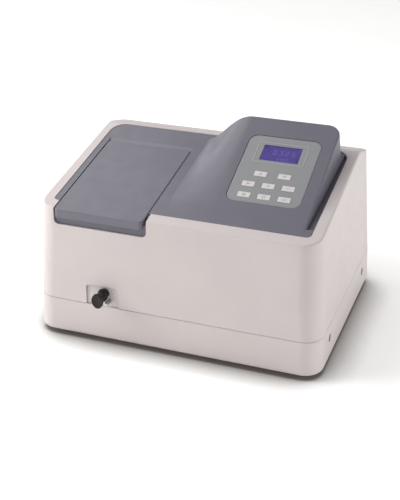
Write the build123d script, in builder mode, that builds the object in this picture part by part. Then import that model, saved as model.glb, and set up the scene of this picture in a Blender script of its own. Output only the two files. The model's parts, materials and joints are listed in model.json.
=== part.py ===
from build123d import *
import os
from math import atan, cos, hypot, sin

os.makedirs("parts", exist_ok=True)

# ---------------------------------------------------------------- driving dimensions (mm)
body_width = 460.0          # at the seam between the two casings
body_depth = 341.0          # at the seam
shell_bottom_z = 8.0        # the feet carry the shell this far above the bench
seam_z = 66.0
seam_gap = 0.7
wall = 3.0
upper_draft = 0.062         # each upper wall leans inward this much per mm of height
lower_draft = 0.039         # each lower wall flares outward this much per mm going down
front_corner_r = 30.0
rear_corner_r = 14.0
knob_reach = 26.0           # knob's front face ahead of the front wall

# top surface: rises to the rear, then falls behind the crest
top_front_z = 216.5
top_slope = 0.1687
crest_from_front = 272.0
rear_slope = -0.30
crest_r = 40.0
shell_top_limit = 300.0

# opening in the upper casing and the deck in it, measured up the slope
opening_half_width = 203.0
opening_front_v = 30.4
opening_rear_v = 272.4
deck_gap = 0.4
deck_drop = 1.0
deck_depth = 12.0

# sample compartment lid
lid_left_x = -191.7
lid_right_x = -45.7
lid_front_v = 7.2
lid_rear_v = 216.7
lid_plate = 3.0
lid_edge_r = 3.0
lid_corner_r = 7.0
lid_lip_bottom_z = 203.5
lid_gap = 0.9
lid_pocket_depth = 9.2
notch_right_x = -40.5
notch_bottom_z = 191.8

# console head and its control plate
console_slope = 0.40
console_start_from_front = 49.5
console_blend = 18.0        # half the length of the face's soft start
console_rear_from_front = 258.5
console_right_x = 190.3
console_shoulder_x = 45.0
console_foot_x = -32.0
plate_x = 112.7
plate_width = 115.0
plate_height = 144.0
plate_corner_r = 14.0
plate_centre_s = 109.5      # along the face from the line where the console starts
plate_thickness = 2.0
key_width = 19.6
key_height = 10.6
key_gap = 0.3
key_travel = 0.8
key_column_pitch = 31.2
key_pair_pitch = 37.5
key_row_pitch = 23.2
key_first_row_s = -57.9     # from the plate's centre
screen_width = 61.2
screen_height = 34.4
screen_s = 36.2

# pull rod, carriage and cells
rod_x = -111.0
rod_z = 88.0
rod_r = 4.0
running_gap = 0.05
cell_pitch = 16.0
cell_count = 4
cell_outer = 12.5
cell_height = 45.0
beam_z = 108.0
beam_from_front = 120.0

# ---------------------------------------------------------------- derived frame
lower_flare = lower_draft * (seam_z - shell_bottom_z)
mid_y = (knob_reach - lower_flare) / 2
front_y = mid_y - body_depth / 2
rear_y = mid_y + body_depth / 2
half_width = body_width / 2
beam_y = front_y + beam_from_front

slope_angle = atan(top_slope)
draft_angle = atan(upper_draft)
console_angle = atan(console_slope)
top_plane = Plane(
    origin=(0, front_y, top_front_z), x_dir=(1, 0, 0), z_dir=(0, -sin(slope_angle), cos(slope_angle))
)
front_plane = Plane(
    origin=(0, front_y, seam_z), x_dir=(1, 0, 0), z_dir=(0, -cos(draft_angle), sin(draft_angle))
)
rear_plane = Plane(
    origin=(0, rear_y, seam_z), x_dir=(-1, 0, 0), z_dir=(0, cos(draft_angle), sin(draft_angle))
)


def deck_z(y, drop=deck_drop):
    """Height of the sloping top plane at y, lowered by drop along its normal."""
    return top_front_z + top_slope * (y - front_y) - drop / cos(slope_angle)


def side_point(v, w):
    """(y, z) of the point v up the top plane and w above it."""
    point = top_plane.from_local_coords((0, v, w))
    return (point.Y, point.Z)


console_start_y = front_y + console_start_from_front
console_rear_y = front_y + console_rear_from_front
face_plane = Plane(
    origin=(0, console_start_y, deck_z(console_start_y)),
    x_dir=(1, 0, 0),
    z_dir=(0, -sin(console_angle), cos(console_angle)),
)
plate_centre = (plate_x, plate_centre_s)


def save(piece, name):
    """Label a finished piece and write it as its own STEP file."""
    piece.part.label = name
    export_step(piece.part, f"parts/{name}.step")


def casing_outline(inset, spread):
    """Rounded outline of the casing, moved in by inset and out by spread."""
    width = body_width + 2 * (spread - inset)
    depth = body_depth + 2 * (spread - inset)
    front_r = front_corner_r - inset
    with Locations((0, mid_y)):
        RectangleRounded(width, depth, front_r)
    with Locations((0, mid_y + front_r / 2)):
        RectangleRounded(width, depth - front_r, rear_corner_r - inset)


def casing_outline_hole(inset):
    """The same outline cut out of the sketch, to leave a ring."""
    with Locations((0, mid_y)):
        RectangleRounded(
            body_width - 2 * inset, body_depth - 2 * inset, rear_corner_r - inset, mode=Mode.SUBTRACT
        )


def above_top(drop):
    """Side outline of everything above the top surface, lowered by drop."""
    crest_y = front_y + crest_from_front
    start_y = front_y - body_width
    far_y = rear_y + body_width
    crest_z = deck_z(crest_y, drop)
    outline = Polygon(
        (start_y, deck_z(start_y, drop)),
        (crest_y, crest_z),
        (far_y, crest_z + rear_slope * (far_y - crest_y)),
        (far_y, 2 * shell_top_limit),
        (start_y, 2 * shell_top_limit),
        align=None,
    )
    crest = outline.vertices().sort_by_distance((crest_y, crest_z))[0]
    fillet(crest, crest_r - drop)


def casing_block(inset):
    """The upper casing's outer form, or with an inset the hollow inside it."""
    with BuildPart() as block:
        for z in (seam_z, shell_top_limit):
            with BuildSketch(Plane.XY.offset(z)):
                casing_outline(inset, -upper_draft * (z - seam_z))
        loft(ruled=True)
        with BuildSketch(Plane.YZ.offset(-body_width)):
            above_top(inset)
        extrude(amount=2 * body_width, mode=Mode.SUBTRACT)
    return block


# ---------------------------------------------------------------- upper casing
arch_x = -115.0
arch_width = 53.6
arch_height = 32.5
arch_corner_r = 5.0
rear_opening_width = 320.0
rear_opening_height = 104.0
rear_opening_q = 68.0       # its centre, up the rear wall from the seam
rear_ledge = 6.0
side_screw_from_front = (64.0, 286.0)
side_screw_z = 42.0
notch_centre_x = (lid_left_x - lid_gap + notch_right_x) / 2
notch_width = notch_right_x - lid_left_x + lid_gap
opening_v = (opening_front_v + opening_rear_v) / 2
opening_length = opening_rear_v - opening_front_v


def deck_outline(grow):
    """Outline of the opening in the top, grown all round."""
    width = 2 * (opening_half_width + grow)
    rear_r = 26.0 + grow
    with Locations((0, opening_v)):
        RectangleRounded(width, opening_length + 2 * grow, rear_r)
    with Locations((0, opening_v - rear_r / 2)):
        RectangleRounded(width, opening_length + 2 * grow - rear_r, 8.0 + grow)


outer_block = casing_block(0)
inner_block = casing_block(wall)
with BuildPart() as upper_casing:
    add(outer_block.part)
    fillet(upper_casing.edges().filter_by(lambda e: e.center().Z > top_front_z - wall), 3.0)
    add(inner_block.part, mode=Mode.SUBTRACT)
    with BuildSketch(top_plane.offset(-2 * wall)):
        deck_outline(0)
    extrude(amount=4 * wall, mode=Mode.SUBTRACT)
    # front notch for the lid's lip
    with BuildSketch(Plane.XZ.offset(-front_y - opening_front_v - 1)):
        with Locations((notch_centre_x, notch_bottom_z + 50)):
            notch = Rectangle(notch_width, 100)
        fillet(notch.vertices().group_by(Axis.Y)[0], 8.0)
    extrude(amount=opening_front_v + 20, mode=Mode.SUBTRACT)
    # arch for the rod panel
    with BuildSketch(front_plane.offset(-2 * wall)):
        with Locations((arch_x, arch_height / 2 - 2)):
            arch = Rectangle(arch_width, arch_height + 4)
        fillet(arch.vertices().group_by(Axis.Y)[-1], arch_corner_r)
    extrude(amount=4 * wall, mode=Mode.SUBTRACT)
    # rear opening, with a ledge behind it for the rear panel
    with BuildSketch(rear_plane.offset(-2 * wall)):
        with Locations((0, rear_opening_q)):
            RectangleRounded(rear_opening_width, rear_opening_height, 8)
    extrude(amount=4 * wall, mode=Mode.SUBTRACT)
    with BuildSketch(rear_plane.offset(-wall - 1.8)):
        with Locations((0, rear_opening_q)):
            RectangleRounded(rear_opening_width + 10, rear_opening_height + 10, 13)
            RectangleRounded(
                rear_opening_width - 2 * rear_ledge,
                rear_opening_height - 2 * rear_ledge,
                4,
                mode=Mode.SUBTRACT,
            )
    extrude(amount=2)
    # lugs that reach down inside the lower casing, one behind each side screw
    for side in (-1, 1):
        for distance in side_screw_from_front:
            with BuildSketch(Plane.XY.offset(side_screw_z - 10)):
                with Locations((side * (half_width - 9), front_y + distance)):
                    Rectangle(5, 18)
            extrude(amount=seam_z - side_screw_z + 30)
            with BuildSketch(Plane.XY.offset(seam_z + 8)):
                with Locations((side * (half_width - 7), front_y + distance)):
                    Rectangle(9, 18)
            extrude(amount=12)
    with Locations(
        *[
            Plane(origin=(side * half_width, front_y + d, side_screw_z), z_dir=(side, 0, 0))
            for side in (-1, 1)
            for d in side_screw_from_front
        ]
    ):
        Hole(1.7, depth=20)
save(upper_casing, "upper_casing")

# ---------------------------------------------------------------- lower casing
foot_r = 12.0
foot_inset_x = 42.0
foot_inset_y = 38.0
chassis_z = 56.0
boss_r = 6.0
boss_places = [
    (side * 190, mid_y + along) for side in (-1, 1) for along in (-125, 0, 125)
]
tab_recess = 2.4
stop_pin_x = rod_x + 6.8
stop_pin_z = rod_z - 13.0
screw_seat_x = half_width - 3.1
outward = (Align.CENTER, Align.CENTER, Align.MIN)
inward = (Align.CENTER, Align.CENTER, Align.MAX)

with BuildPart() as tray_hollow:
    for z in (shell_bottom_z + wall, seam_z + 0.1):
        with BuildSketch(Plane.XY.offset(z)):
            casing_outline(wall, lower_draft * (seam_z - z))
    loft(ruled=True)

with BuildPart() as lower_casing:
    for z in (shell_bottom_z, seam_z - seam_gap):
        with BuildSketch(Plane.XY.offset(z)):
            casing_outline(0, lower_draft * (seam_z - z))
    loft(ruled=True)
    fillet(lower_casing.faces().sort_by(Axis.Z)[0].edges(), 4.5)
    add(tray_hollow.part, mode=Mode.SUBTRACT)
    # lip that closes the seam from inside
    with BuildSketch(Plane.XY.offset(seam_z - 6)):
        casing_outline(wall - 0.2, 0)
        casing_outline_hole(wall + 1.8)
    extrude(amount=6 - seam_gap)
    with BuildSketch(Plane.XY.offset(seam_z - 6)):
        casing_outline(wall + 0.4, 0)
        casing_outline_hole(wall + 2.2)
    extrude(amount=11)
    with BuildSketch(Plane.XY.offset(shell_bottom_z + wall - 0.5)):
        with Locations(*boss_places):
            Circle(boss_r)
    extrude(amount=chassis_z - shell_bottom_z - wall + 0.5)
    # panel for the pull rod, set back in the upper casing's arch
    with BuildSketch(front_plane.offset(-tab_recess - wall)):
        with Locations((arch_x, (arch_height - 18) / 2 - 0.4)):
            panel = Rectangle(arch_width - 0.8, arch_height + 18)
        fillet(panel.vertices().group_by(Axis.Y)[-1], arch_corner_r - 0.4)
    extrude(amount=wall)
    with BuildSketch(Plane.XZ.offset(-front_y - 12)):
        with Locations((rod_x, rod_z)):
            Circle(6.0)
        with Locations((stop_pin_x, stop_pin_z)):
            Circle(2.5)
    extrude(amount=20, mode=Mode.SUBTRACT)
    # cooling slots in the bottom
    with BuildSketch(Plane.XY.offset(shell_bottom_z - 1)):
        with Locations((0, mid_y + 40)):
            with GridLocations(12, 46, 12, 2):
                SlotOverall(36, 3.4, rotation=90)
    extrude(amount=wall + 2, mode=Mode.SUBTRACT)
    for side in (-1, 1):
        for distance in side_screw_from_front:
            with Locations(
                Plane(origin=(side * screw_seat_x, front_y + distance, side_screw_z), z_dir=(side, 0, 0))
            ):
                Cylinder(9.0, 3.3, align=inward)
                Cylinder(9.0, 2.0, align=outward)
                Cylinder(6.5, 10, align=outward, mode=Mode.SUBTRACT)
                Cylinder(2.2, 20, mode=Mode.SUBTRACT)
save(lower_casing, "lower_casing")

# ---------------------------------------------------------------- deck with console head
deck_skin = 3.0
compartment_left_x = -181.0
compartment_right_x = -57.0
compartment_front_v = 42.0
compartment_rear_v = 203.0
groove_depth = 5.0
lid_centre_x = (lid_left_x + lid_right_x) / 2
lid_width = lid_right_x - lid_left_x
pocket_rear_v = lid_rear_v + lid_gap
hinge_v = lid_rear_v - lid_edge_r
hinge_drop = deck_drop + lid_edge_r
bevel_run = 7.5
bevel_depth = 3.6
wall_flare = 0.10           # outward slope of the console's right wall
console_corner_r = 21.0
foot_sink = 0.24            # how far the console's foot lies under the deck's surface
hinge_pin_r = 1.5
hinge_pin_length = 11.0
hinge_origin = top_plane.from_local_coords((0, hinge_v, -hinge_drop))


def console_height(y):
    """Height of the console face above the deck at y, rising softly from the deck."""
    run = y - console_start_y
    rise = console_slope - top_slope
    if run >= console_blend:
        return rise * run
    return rise * (run + console_blend) ** 2 / (4 * console_blend) - foot_sink / 4


def console_section(y, inset, base_drop):
    """Cross-section of the console head at y, standing on the deck's own depth."""
    height = console_height(y)
    face_z = deck_z(y) + height
    foot = (console_foot_x + 1.2 * inset, deck_z(y) - foot_sink - inset)
    shoulder = (console_shoulder_x + inset, face_z - inset)
    base_z = deck_z(y, base_drop)
    side_x = console_right_x - inset
    with BuildSketch(Plane.XZ.offset(-y)) as section:
        with BuildLine():
            Line((foot[0], base_z), foot)
            Spline(foot, shoulder, tangents=((1, 0.02), (1, 0.02)), tangent_scalars=(0.75, 1.15))
            Line(shoulder, (side_x, face_z - inset))
            Line((side_x, face_z - inset), (side_x + wall_flare * (height + base_drop), base_z))
            Line((side_x + wall_flare * (height + base_drop), base_z), (foot[0], base_z))
        make_face()
    return section


with BuildPart() as console_head:
    for step in (-2, -1, 0, 1, 2):
        add(console_section(console_start_y + step * console_blend / 2, 0, deck_depth - 1).sketch)
    loft()
    for y in (console_start_y + console_blend, console_rear_y):
        add(console_section(y, 0, deck_depth - 1).sketch)
    loft(ruled=True)
    rear_face = console_head.faces().sort_by(Axis.Y)[-1]
    fillet(rear_face.edges().filter_by(Axis.X, reverse=True).sort_by(Axis.X)[-1], console_corner_r)
    head_top = console_head.edges().filter_by(
        lambda e: e.center().Z > deck_z(e.center().Y) - 2 and abs(e.tangent_at(0.5).Z) < 0.6
    )
    fillet(
        head_top.filter_by(
            lambda e: e.center().X > console_right_x - 16
            or e.center().Y > console_rear_y - 16 and e.center().X > console_shoulder_x
        ),
        2.6,
    )

with BuildPart() as console_hollow:
    for y in (console_start_y + console_blend, console_rear_y - wall):
        add(console_section(y, wall, deck_depth + 1).sketch)
    loft(ruled=True)
    rear_face = console_hollow.faces().sort_by(Axis.Y)[-1]
    fillet(
        rear_face.edges().filter_by(Axis.X, reverse=True).sort_by(Axis.X)[-1], console_corner_r - wall
    )

plate_pocket_depth = 2.6
plate_ledge = 5.0
plate_gap = 0.7
flange_rear_v = 246.0

with BuildPart() as top_deck:
    with BuildSketch(top_plane.offset(-deck_depth)):
        deck_outline(-deck_gap)
    extrude(amount=deck_depth - deck_drop)
    with BuildSketch(top_plane.offset(-wall - deck_skin)):
        with Locations((0, (opening_front_v + flange_rear_v) / 2 - 2)):
            RectangleRounded(2 * opening_half_width + 10, flange_rear_v - opening_front_v + 6, 10)
    extrude(amount=deck_skin - 0.1)
    add(console_head.part)
    # thin the slab from below, and hollow the console head
    with BuildSketch(top_plane.offset(-deck_depth - 1)):
        with Locations((76, 148)):
            Rectangle(222, 218)
    extrude(amount=deck_depth - deck_drop - deck_skin + 1, mode=Mode.SUBTRACT)
    add(console_hollow.part, mode=Mode.SUBTRACT)
    # groove between the console and the rim
    with BuildSketch(top_plane.offset(-deck_drop - groove_depth)):
        deck_outline(-deck_gap - 1)
        with BuildLine():
            Polyline(
                (console_right_x + 0.8, console_start_from_front / cos(slope_angle)),
                (console_right_x + 6.2, console_rear_from_front / cos(slope_angle) - 14),
                (console_right_x + 6.2, opening_rear_v),
                (opening_half_width, opening_rear_v),
                (opening_half_width, console_start_from_front / cos(slope_angle) + 2),
                close=True,
            )
        make_face(mode=Mode.INTERSECT)
    extrude(amount=2 * groove_depth, mode=Mode.SUBTRACT)
    # sill and apron that close the front notch behind the lid's lip
    with BuildSketch(top_plane.offset(-deck_depth)):
        with Locations((notch_centre_x, 24.5)):
            Rectangle(notch_width - 0.8, 27)
    extrude(amount=deck_depth - lid_pocket_depth)
    with BuildSketch(front_plane.offset(-2 * wall - 0.4)):
        with Locations((notch_centre_x, 131)):
            Rectangle(notch_width + 10, 26)
    extrude(amount=wall)
    # pocket for the lid, and the way into the sample compartment
    with BuildSketch(top_plane.offset(-lid_pocket_depth)):
        with Locations((lid_centre_x, (5 + pocket_rear_v) / 2)):
            Rectangle(lid_width + 2 * lid_gap, pocket_rear_v - 5)
    extrude(amount=lid_pocket_depth + 5, mode=Mode.SUBTRACT)
    with BuildSketch(top_plane.offset(-deck_depth - 5)):
        with Locations(
            (
                (compartment_left_x + compartment_right_x) / 2,
                (compartment_front_v + compartment_rear_v) / 2,
            )
        ):
            RectangleRounded(
                compartment_right_x - compartment_left_x, compartment_rear_v - compartment_front_v, 6
            )
    extrude(amount=deck_depth + 5, mode=Mode.SUBTRACT)
    # bevel along the pocket's rear edge
    with BuildSketch(Plane.YZ.offset(lid_left_x - lid_gap)):
        Polygon(
            side_point(pocket_rear_v - 1, 1),
            side_point(pocket_rear_v - 1, -deck_drop - bevel_depth),
            side_point(pocket_rear_v, -deck_drop - bevel_depth),
            side_point(pocket_rear_v + bevel_run, -deck_drop),
            side_point(pocket_rear_v + bevel_run, 1),
            align=None,
        )
    extrude(amount=lid_width + 2 * lid_gap, mode=Mode.SUBTRACT)
    # hinge pin bores in the pocket's side walls
    with Locations(
        Plane(origin=(lid_centre_x, hinge_origin.Y, hinge_origin.Z), x_dir=(0, 1, 0), z_dir=(1, 0, 0))
    ):
        Cylinder(hinge_pin_r, lid_width + 14, mode=Mode.SUBTRACT)
    # pocket and window in the console face for the control plate
    with BuildSketch(face_plane.offset(-plate_pocket_depth)):
        with Locations(plate_centre):
            RectangleRounded(
                plate_width + 2 * plate_gap, plate_height + 2 * plate_gap, plate_corner_r + plate_gap
            )
    extrude(amount=2 * plate_pocket_depth, mode=Mode.SUBTRACT)
    with BuildSketch(face_plane.offset(-6 * wall)):
        with Locations(plate_centre):
            RectangleRounded(
                plate_width - 2 * plate_ledge, plate_height - 2 * plate_ledge, plate_corner_r - plate_ledge
            )
    extrude(amount=6 * wall, mode=Mode.SUBTRACT)
save(top_deck, "top_deck")

# ---------------------------------------------------------------- sample compartment lid
hinge_y = hinge_origin.Y
hinge_z = hinge_origin.Z
lid_front_y = front_y + 7.1
lip_thickness = 3.0
lid_skirt = 4.5

lid_top_z = deck_z(lid_front_y)
lid_under_drop = deck_drop + lid_plate
tail_y, tail_top_z = side_point(hinge_v, -deck_drop)
rib_y = top_plane.from_local_coords((0, hinge_v - 14, -lid_under_drop)).Y

with BuildPart() as lid_core:
    with BuildSketch(Plane.YZ.offset(lid_left_x + wall)):
        with BuildLine():
            Polyline(
                (lid_front_y + lip_thickness, deck_z(lid_front_y + lip_thickness, lid_under_drop)),
                (rib_y, deck_z(rib_y, lid_under_drop)),
                (rib_y + 3, deck_z(rib_y + 3, 2 * lid_pocket_depth)),
                (lid_front_y + lip_thickness, lid_lip_bottom_z - 20),
                close=True,
            )
        make_face()
    extrude(amount=lid_width - 2 * wall)
    fillet(lid_core.edges().filter_by(Axis.Z).group_by(Axis.Y)[0], lid_corner_r - wall)

with BuildPart() as compartment_lid:
    # side profile: lip at the front, top plate, round bead about the hinge line
    skirt_y, skirt_z = side_point(hinge_v - 10, -lid_under_drop - lid_skirt)
    front_skirt_y = lid_front_y + lip_thickness
    with BuildSketch(Plane.YZ.offset(lid_left_x)):
        with BuildLine():
            Polyline(
                (lid_front_y, lid_lip_bottom_z),
                (lid_front_y, lid_top_z),
                (tail_y, tail_top_z),
                (hinge_y, hinge_z),
                (skirt_y, skirt_z),
                (front_skirt_y, deck_z(front_skirt_y, lid_under_drop + lid_skirt)),
                (front_skirt_y, lid_lip_bottom_z),
                close=True,
            )
        make_face()
        with Locations((hinge_y, hinge_z)):
            Circle(lid_edge_r)
    extrude(amount=lid_width)
    front_corners = compartment_lid.edges().filter_by(Axis.Z).group_by(Axis.Y)[0]
    fillet(front_corners, lid_corner_r)
    front_top = compartment_lid.edges().filter_by(
        lambda e: e.center().Y < lid_front_y + lid_corner_r and e.center().Z > lid_top_z - 1
    )
    fillet(front_top.filter_by(lambda e: e.length > 2), 2.0)
    add(lid_core.part, mode=Mode.SUBTRACT)
    with Locations(
        *[
            Plane(origin=(x, hinge_y, hinge_z), x_dir=(0, 1, 0), z_dir=(direction, 0, 0))
            for x, direction in ((lid_left_x, 1), (lid_right_x, -1))
        ]
    ):
        Cylinder(
            hinge_pin_r + running_gap,
            6.5,
            align=(Align.CENTER, Align.CENTER, Align.MIN),
            mode=Mode.SUBTRACT,
        )
save(compartment_lid, "compartment_lid")

with BuildPart() as lid_hinge_pins:
    with Locations(
        *[
            Plane(origin=(x, hinge_y, hinge_z), x_dir=(0, 1, 0), z_dir=(direction, 0, 0))
            for x, direction in ((lid_left_x - 6.3, 1), (lid_right_x + 6.3, -1))
        ]
    ):
        Cylinder(hinge_pin_r, hinge_pin_length, align=(Align.CENTER, Align.CENTER, Align.MIN))
save(lid_hinge_pins, "lid_hinge_pins")

seal_front_v = 35.0
seal_rear_v = 199.0
with BuildPart() as lid_seal:
    with BuildSketch(top_plane.offset(-lid_under_drop - lid_skirt)):
        with Locations((lid_centre_x, (seal_front_v + seal_rear_v) / 2)):
            seal_width = lid_width - 2 * wall - 1
            seal_length = seal_rear_v - seal_front_v
            RectangleRounded(seal_width, seal_length, 8)
            RectangleRounded(seal_width - 12, seal_length - 12, 3, mode=Mode.SUBTRACT)
    extrude(amount=lid_skirt)
save(lid_seal, "lid_seal")

# ---------------------------------------------------------------- control plate, keys, display
plate_drop = plate_pocket_depth - plate_thickness
key_places = (
    [(plate_x + side * key_pair_pitch / 2, 2) for side in (-1, 1)]
    + [(plate_x + column * key_column_pitch, 1) for column in (-1, 0, 1)]
    + [(plate_x + column * key_column_pitch, 0) for column in (-1, 0, 1)]
)
key_centres = [
    (x, plate_centre_s + key_first_row_s + row * key_row_pitch) for x, row in key_places
]
screen_centre = (plate_x, plate_centre_s + screen_s)

with BuildPart() as control_plate:
    with BuildSketch(face_plane.offset(-plate_pocket_depth)):
        with Locations(plate_centre):
            RectangleRounded(plate_width, plate_height, plate_corner_r)
        with Locations(screen_centre):
            Rectangle(screen_width, screen_height, mode=Mode.SUBTRACT)
        with Locations(*key_centres):
            RectangleRounded(
                key_width + 2 * key_gap, key_height + 2 * key_gap, 0.9 + key_gap, mode=Mode.SUBTRACT
            )
    extrude(amount=plate_thickness)
    # fine raised frame line round the display
    with BuildSketch(face_plane.offset(-plate_drop - 0.05)):
        with Locations(screen_centre):
            RectangleRounded(screen_width + 20, screen_height + 11, 4)
            RectangleRounded(screen_width + 17, screen_height + 8, 2.5, mode=Mode.SUBTRACT)
    extrude(amount=0.25)
save(control_plate, "control_plate")

with BuildPart() as lcd_window:
    with BuildSketch(face_plane.offset(-plate_pocket_depth)):
        with Locations(screen_centre):
            Rectangle(screen_width - 0.3, screen_height - 0.3)
    extrude(amount=1.2)
save(lcd_window, "lcd_window")

with BuildPart() as lcd_glass:
    with BuildSketch(face_plane.offset(-plate_pocket_depth - 2.2)):
        with Locations(screen_centre):
            Rectangle(screen_width + 5, screen_height + 5)
    extrude(amount=2)
save(lcd_glass, "lcd_glass")

board_thickness = 1.6
with BuildPart() as lcd_module:
    with BuildSketch(face_plane.offset(-plate_pocket_depth - 6.2)):
        with Locations(screen_centre):
            Rectangle(screen_width + 14, screen_height + 19)
    extrude(amount=board_thickness)
    with BuildSketch(face_plane.offset(-plate_pocket_depth - 5)):
        with Locations(screen_centre):
            Rectangle(screen_width + 9, screen_height + 9)
    extrude(amount=2.7)
    with BuildSketch(face_plane.offset(-plate_pocket_depth - 3)):
        with Locations(screen_centre):
            Rectangle(screen_width + 9, screen_height + 9)
            Rectangle(screen_width + 5.4, screen_height + 5.4, mode=Mode.SUBTRACT)
    extrude(amount=2.8)
save(lcd_module, "lcd_module")

key_cap_rise = 0.6
key_flange_thickness = 1.0
key_stem_length = 3.0
switch_height = 3.4
switch_clearance = key_travel + 0.3

key_cap_bottom = -plate_pocket_depth - 0.15 - key_flange_thickness
switch_top = key_cap_bottom - key_stem_length - switch_clearance

for number, centre in enumerate(key_centres, start=1):
    with BuildPart() as key:
        with BuildSketch(face_plane.offset(key_cap_bottom)):
            with Locations(centre):
                Rectangle(key_width + 2.4, key_height + 2.4)
        extrude(amount=key_flange_thickness)
        with BuildSketch(face_plane.offset(key_cap_bottom)):
            with Locations(centre):
                RectangleRounded(key_width, key_height, 0.9)
        extrude(amount=key_cap_rise - plate_drop - key_cap_bottom)
        cap_face = key.faces().filter_by(
            lambda f: f.area > 0.9 * key_width * key_height - 10
            and (f.center() - face_plane.origin).dot(face_plane.z_dir) > -plate_drop
        )
        fillet(cap_face.edges(), 0.4)
        with BuildSketch(face_plane.offset(key_cap_bottom - key_stem_length)):
            with Locations(centre):
                Circle(1.8)
        extrude(amount=key_stem_length)
    save(key, f"key_{number}")

with BuildPart() as keypad_board:
    with BuildSketch(face_plane.offset(switch_top - switch_height - board_thickness)):
        with Locations((plate_x, plate_centre_s + key_first_row_s + key_row_pitch)):
            Rectangle(96, 2 * key_row_pitch + 20)
    extrude(amount=board_thickness)
    with BuildSketch(face_plane.offset(switch_top - switch_height)):
        with Locations(*key_centres):
            Rectangle(6, 6)
    extrude(amount=switch_height)
save(keypad_board, "keypad_board")

# ---------------------------------------------------------------- pull rod, bush, knob, stop pin
compartment_wall = 4.0
box_left_x = -187.0
box_right_x = -51.0
box_front_y = front_y + 20.0
box_rear_y = front_y + 212.0
box_floor_z = 66.0
carriage_length = cell_pitch * cell_count + 8
carriage_front_y = beam_y - cell_pitch / 2 - 4
carriage_width = 26.0
carriage_bottom_z = 75.0
carriage_top_z = 127.0
rail_r = 3.0
rail_z = 80.0
rail_offset_x = 24.0

knob_front_y = front_y - knob_reach
knob_depth = 23.2
flange_depth = 4.4
waist_half = (knob_depth - 2 * flange_depth + 1.4) / 2
spigot_length = 7.0
with BuildPart() as rod_knob:
    # oval front flange, round waist, smaller oval rear flange
    with BuildSketch(Plane.XZ.offset(-knob_front_y)):
        with Locations((rod_x, rod_z)):
            Ellipse(9.4, 12.4)
    extrude(amount=-flange_depth)
    with BuildSketch(Plane.XZ.offset(-knob_front_y - knob_depth)):
        with Locations((rod_x, rod_z)):
            Ellipse(8.2, 11.0)
    extrude(amount=flange_depth)
    fillet(rod_knob.edges(), 1.2)
    for y, reach in (
        (knob_front_y + flange_depth - 0.6, 1),
        (knob_front_y + knob_depth - flange_depth + 0.6, -1),
    ):
        with BuildSketch(Plane.XZ.offset(-y)):
            with Locations((rod_x, rod_z)):
                Circle(7.4)
        with BuildSketch(Plane.XZ.offset(-y - reach * waist_half)):
            with Locations((rod_x, rod_z)):
                Circle(5.6)
        loft()
    # shallow dish in the front face
    with Locations((rod_x, knob_front_y - 40.0, rod_z)):
        Sphere(40.9, mode=Mode.SUBTRACT)
    with Locations(Plane(origin=(rod_x, knob_front_y + knob_depth, rod_z), z_dir=(0, 1, 0))):
        Hole(rod_r - 1, depth=spigot_length + 1)
save(rod_knob, "rod_knob")

with BuildPart() as pull_rod:
    rod_rear_y = carriage_front_y + 3
    with BuildSketch(Plane.XZ.offset(-knob_front_y - knob_depth)):
        with Locations((rod_x, rod_z)):
            Circle(rod_r)
    extrude(amount=-(rod_rear_y - knob_front_y - knob_depth))
    with BuildSketch(Plane.XZ.offset(-knob_front_y - knob_depth)):
        with Locations((rod_x, rod_z)):
            Circle(rod_r - 1)
    extrude(amount=spigot_length)
    # one notch for each cell position
    for step in range(cell_count):
        notch_y = box_front_y + 12 - step * cell_pitch
        with Locations((rod_x, notch_y + 3 * cell_pitch, rod_z - rod_r)):
            Cylinder(1.2, 12, rotation=(0, 90, 0), mode=Mode.SUBTRACT)
save(pull_rod, "pull_rod")

with BuildPart() as rod_bush:
    bush_origin = (rod_x, front_y + 1.3, rod_z)
    with Locations(Plane(origin=bush_origin, z_dir=(0, 1, 0))):
        Cylinder(7.6, 2.0, align=(Align.CENTER, Align.CENTER, Align.MIN))
        Cylinder(5.9, 9.0, align=(Align.CENTER, Align.CENTER, Align.MIN))
        Cylinder(rod_r + running_gap, 40, mode=Mode.SUBTRACT)
    chamfer(rod_bush.edges().filter_by(GeomType.CIRCLE).sort_by(Axis.Y)[1], 0.5)
save(rod_bush, "rod_bush")

with BuildPart() as stop_pin:
    with BuildSketch(Plane.XZ.offset(-front_y - 8)):
        with Locations((stop_pin_x, stop_pin_z)):
            Circle(2.5)
    extrude(amount=10)
    with BuildSketch(Plane.XZ.offset(-front_y - 2.7)):
        with Locations((stop_pin_x, stop_pin_z)):
            Circle(3.4)
    extrude(amount=12.7)
    fillet(stop_pin.edges().filter_by(GeomType.CIRCLE).sort_by(Axis.Y)[0], 1.2)
save(stop_pin, "stop_pin")

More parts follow.
